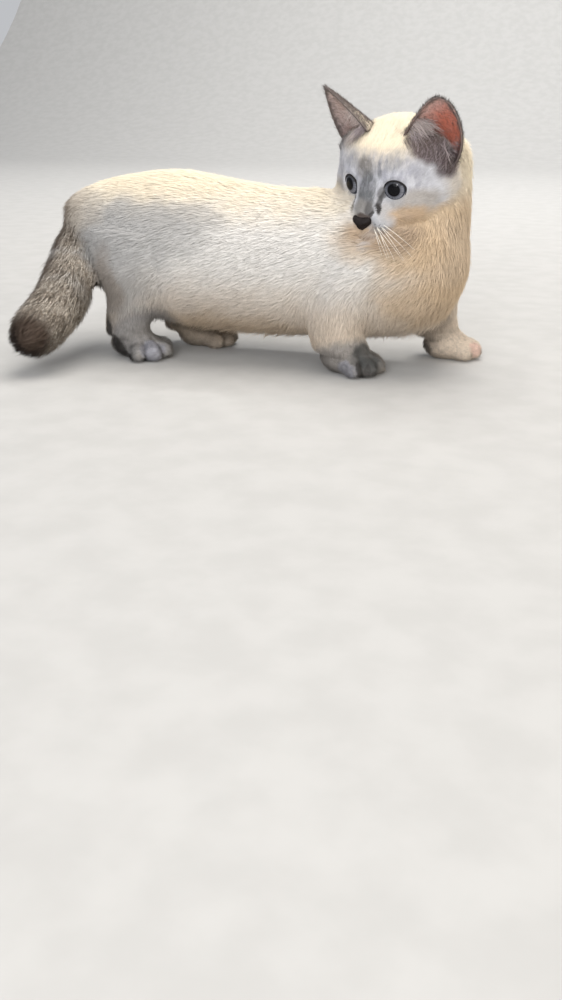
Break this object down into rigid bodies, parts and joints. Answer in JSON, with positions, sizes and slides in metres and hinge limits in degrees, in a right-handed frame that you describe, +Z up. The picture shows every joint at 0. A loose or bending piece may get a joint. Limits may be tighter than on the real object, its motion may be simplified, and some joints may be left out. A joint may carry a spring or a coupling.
{
  "type": "standing short-legged kitten",
  "caption": "Life-size still model of a short-legged munchkin kitten, standing with its head turned back over the shoulder and the tail hanging, for display on a flat surface.",
  "frame": {"origin": "on the floor below the middle of the bounding box", "axes": "+X along the body towards the chest, +Y to the kitten's left, +Z up"},
  "size_m": [0.257, 0.132, 0.1618],
  "materials": {
    "body_coat": "soft plush cream-white fur, greyer on the face",
    "leg_coat": "short fur, cream above and blue-grey on the paws",
    "tail_coat": "grey-brown ticked fur with a dark brown tip",
    "ear_coat": "very short dark grey-brown fur outside, mauve-pink skin inside",
    "nose_leather": "moist charcoal skin",
    "eye": "wet gloss over a grey-blue iris and a black pupil"
  },
  "bodies": {
    "root": {"torso": "body_coat", "neck": "body_coat", "head": "body_coat", "ear_left": "ear_coat", "ear_right": "ear_coat", "eye_left": "eye", "eye_right": "eye", "nose": "nose_leather", "foreleg_left": "leg_coat", "foreleg_right": "leg_coat", "hindleg_left": "leg_coat", "hindleg_right": "leg_coat", "tail_base": "tail_coat", "tail_tip": "tail_coat"}
  },
  "joints": []
}
